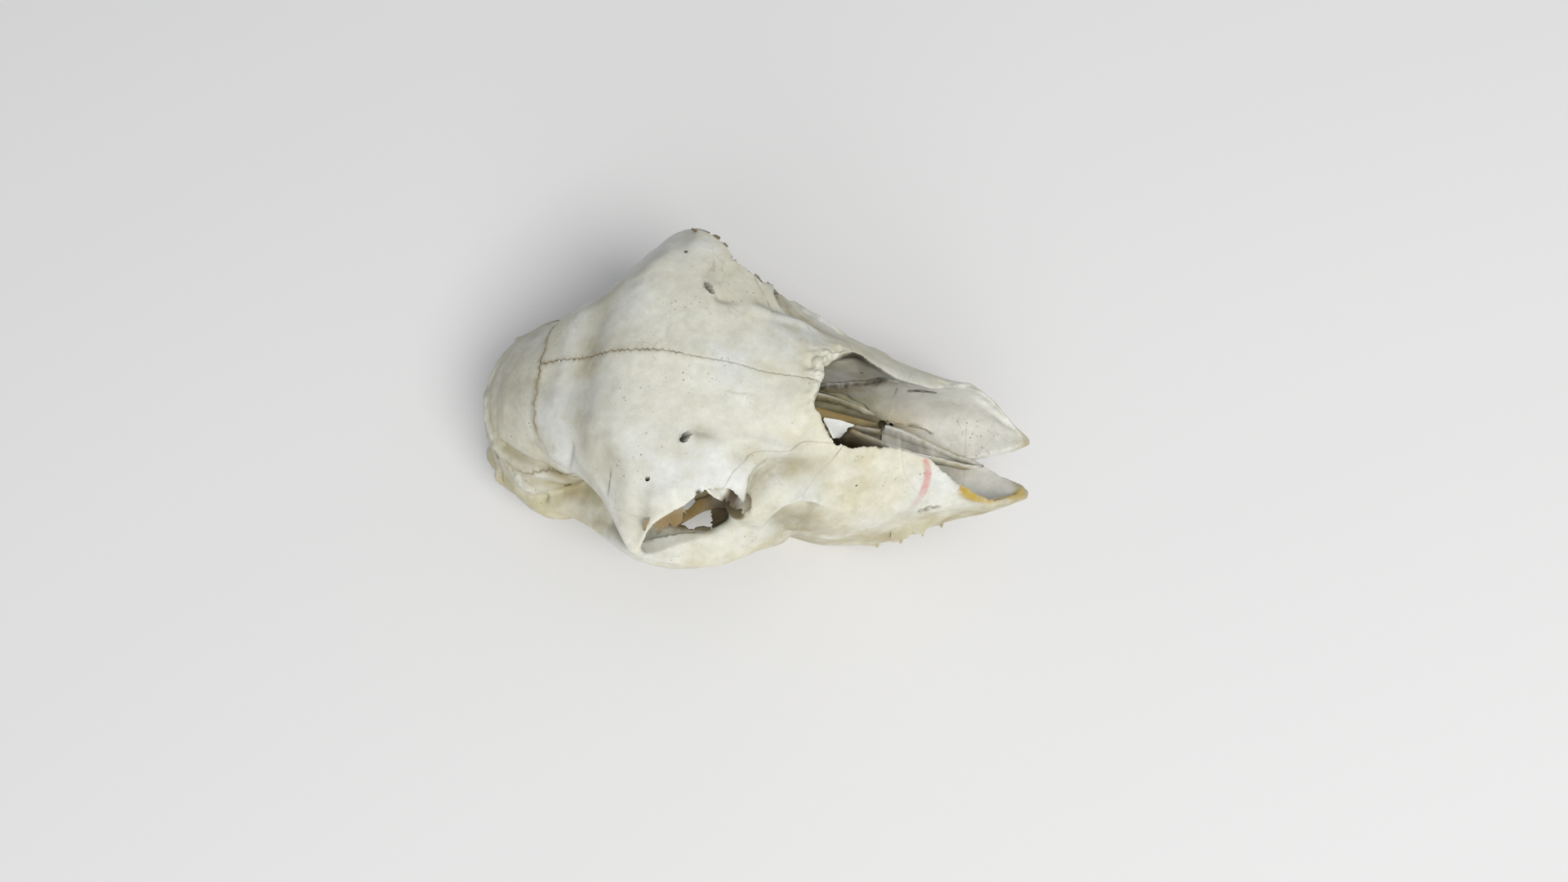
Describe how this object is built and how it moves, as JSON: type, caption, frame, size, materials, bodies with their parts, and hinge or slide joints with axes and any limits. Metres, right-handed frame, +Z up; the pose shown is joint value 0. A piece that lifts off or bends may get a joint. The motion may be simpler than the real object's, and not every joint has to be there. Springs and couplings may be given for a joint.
{
  "type": "polled sheep skull",
  "caption": "Life-size dry cranium of a hornless sheep with open orbits, cheek teeth, forked nose tip and no lower jaw, lying on a flat surface.",
  "frame": {"origin": "centre of the bounding box at the level of the surface the skull lies on", "axes": "+X towards the nose, +Y towards the animal's left, +Z up"},
  "size_m": [0.1984, 0.1142, 0.0979],
  "materials": {
    "forehead_bone": "dry ivory bone, satin to matte, with brown suture lines",
    "face_bone": "dry pale bone, satin to matte, browned at the tips",
    "base_bone": "dry yellowed bone, matte",
    "thin_bone": "thin honey-coloured bone, slightly translucent"
  },
  "bodies": {
    "root": {"frontal_left": "forehead_bone", "frontal_right": "forehead_bone", "parietal": "forehead_bone", "occipital": "base_bone", "temporal_left": "base_bone", "temporal_right": "base_bone", "zygomatic_left": "forehead_bone", "zygomatic_right": "forehead_bone", "lacrimal_left": "forehead_bone", "lacrimal_right": "forehead_bone", "maxilla_left": "face_bone", "maxilla_right": "face_bone", "incisive_left": "face_bone", "incisive_right": "face_bone", "sphenoid_and_palatine": "base_bone", "vomer": "thin_bone", "concha_left": "thin_bone", "concha_right": "thin_bone"}
  },
  "joints": []
}
